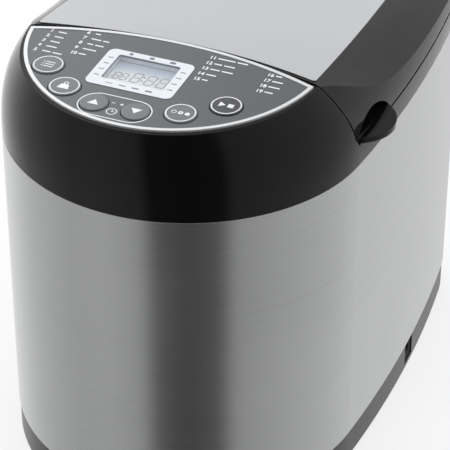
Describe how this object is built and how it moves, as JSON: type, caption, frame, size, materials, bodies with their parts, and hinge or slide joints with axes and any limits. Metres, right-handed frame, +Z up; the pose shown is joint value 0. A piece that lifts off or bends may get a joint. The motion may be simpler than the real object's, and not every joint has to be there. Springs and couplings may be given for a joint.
{
  "type": "bread machine",
  "caption": "Upright bread machine with a rounded front, brushed steel wrap, lens-shaped control panel, hinged lid with a side lip, and a lift-out pan with a driven kneading paddle.",
  "frame": {"origin": "on the surface it stands on, under the middle of its outline, lip included", "axes": "+Z up, +Y to the hinge at the rear, +X to the side with the lid's lip"},
  "size_m": [0.2395, 0.35, 0.283],
  "materials": {
    "gloss_black": "high gloss moulded",
    "base_plastic": "satin moulded",
    "brushed_steel": "brushed along the wrap",
    "rubber_black": "matt",
    "silicone": "matt",
    "panel_grey": "satin printed film",
    "panel_rim": "bright",
    "display_silver": "gloss printed",
    "display_glass": "clear",
    "board_green": "solder mask",
    "switch_black": "moulded",
    "key_grey": "satin",
    "key_black": "satin",
    "zinc_screws": "zinc plated",
    "oven_steel": "aluminised sheet",
    "plated_plate": "zinc plated sheet",
    "element_steel": "heat tinted sheath",
    "ceramic": "glazed",
    "nonstick": "non-stick coating",
    "bronze": "sintered",
    "shaft_steel": "ground",
    "coupling_metal": "die cast",
    "pulley_nylon": "moulded",
    "motor_iron": "laminated",
    "capacitor_can": "drawn can"
  },
  "bodies": {
    "casing": {"base_tray": "base_plastic", "rubber_feet": "rubber_black", "steel_wrap": "brushed_steel", "upper_housing": "gloss_black", "hinge_pins": "zinc_screws", "cord_gland": "rubber_black", "panel_overlay": "panel_grey", "panel_trim": "panel_rim", "display_frame": "display_silver", "display_window": "display_glass", "lcd_module": "base_plastic", "control_board": "board_green", "board_screws": "zinc_screws", "tact_switches": "switch_black", "oven_chamber": "oven_steel", "heating_element": "element_steel", "element_insulators": "ceramic", "temperature_probe": "element_steel", "thermal_fuse": "element_steel", "pan_seat": "oven_steel", "seat_screws": "zinc_screws", "chamber_spacers": "oven_steel", "drive_frame": "plated_plate", "frame_screws": "zinc_screws", "shaft_bearing": "bronze", "motor_stator": "motor_iron", "drive_belt": "rubber_black", "power_board": "board_green", "power_transformer": "motor_iron", "heater_relay": "switch_black", "run_capacitor": "capacitor_can"},
    "lid": {"lid_shell": "gloss_black", "lid_plate": "brushed_steel", "lid_liner": "oven_steel", "lid_seal": "silicone", "liner_screws": "zinc_screws"},
    "pan": {"bread_pan": "nonstick", "pan_bearing": "bronze"},
    "bail": {"pan_handle": "shaft_steel", "handle_grip": "silicone"},
    "paddle": {"pan_shaft": "shaft_steel", "pan_coupling": "coupling_metal", "kneading_paddle": "nonstick"},
    "drive": {"drive_shaft": "shaft_steel", "drive_pulley": "pulley_nylon", "drive_coupling": "coupling_metal"},
    "motor": {"motor_shaft": "shaft_steel", "motor_rotor": "motor_iron", "motor_pulley": "pulley_nylon"},
    "menu_key": {"menu_button": "key_grey"},
    "weight_key": {"weight_button": "key_grey"},
    "timer_up_key": {"timer_up_button": "key_grey"},
    "timer_down_key": {"timer_down_button": "key_grey"},
    "colour_key": {"colour_button": "key_grey"},
    "start_key": {"start_button": "key_black"}
  },
  "joints": [
    {"name": "lid_hinge", "type": "hinge", "parent": "casing", "child": "lid", "pos_m": [-0.00475, 0.168, 0.246], "axis": [-1, 0, 0], "range_deg": [0, 95]},
    {"name": "pan_lift", "type": "slide", "parent": "casing", "child": "pan", "axis": [0, 0, 1], "range_m": [0, 0.03]},
    {"name": "bail_swing", "type": "hinge", "parent": "pan", "child": "bail", "pos_m": [-0.00475, 0.041, 0.206], "axis": [0, 1, 0], "range_deg": [0, 35]},
    {"name": "motor_spin", "type": "hinge", "parent": "casing", "child": "motor", "pos_m": [-0.00475, -0.115, 0.046], "axis": [0, 0, 1], "continuous": true},
    {"name": "drive_spin", "type": "hinge", "parent": "casing", "child": "drive", "pos_m": [-0.00475, 0.041, 0.046], "axis": [0, 0, 1], "continuous": true},
    {"name": "paddle_spin", "type": "hinge", "parent": "pan", "child": "paddle", "pos_m": [-0.00475, 0.041, 0.09], "axis": [0, 0, 1], "continuous": true},
    {"name": "menu_press", "type": "slide", "parent": "casing", "child": "menu_key", "axis": [0, 0.0323, -0.9995], "range_m": [0, 0.0008], "stiffness_N_per_m": 600},
    {"name": "weight_press", "type": "slide", "parent": "casing", "child": "weight_key", "axis": [0, 0.0323, -0.9995], "range_m": [0, 0.0008], "stiffness_N_per_m": 600},
    {"name": "timer_up_press", "type": "slide", "parent": "casing", "child": "timer_up_key", "axis": [0, 0.0323, -0.9995], "range_m": [0, 0.0008], "stiffness_N_per_m": 600},
    {"name": "timer_down_press", "type": "slide", "parent": "casing", "child": "timer_down_key", "axis": [0, 0.0323, -0.9995], "range_m": [0, 0.0008], "stiffness_N_per_m": 600},
    {"name": "colour_press", "type": "slide", "parent": "casing", "child": "colour_key", "axis": [0, 0.0323, -0.9995], "range_m": [0, 0.0008], "stiffness_N_per_m": 600},
    {"name": "start_press", "type": "slide", "parent": "casing", "child": "start_key", "axis": [0, 0.0323, -0.9995], "range_m": [0, 0.0008], "stiffness_N_per_m": 600}
  ],
  "couplings": [
    {"joint": "drive_spin", "follows": "motor_spin", "ratio": 0.20466},
    {"joint": "paddle_spin", "follows": "motor_spin", "ratio": 0.20466}
  ]
}
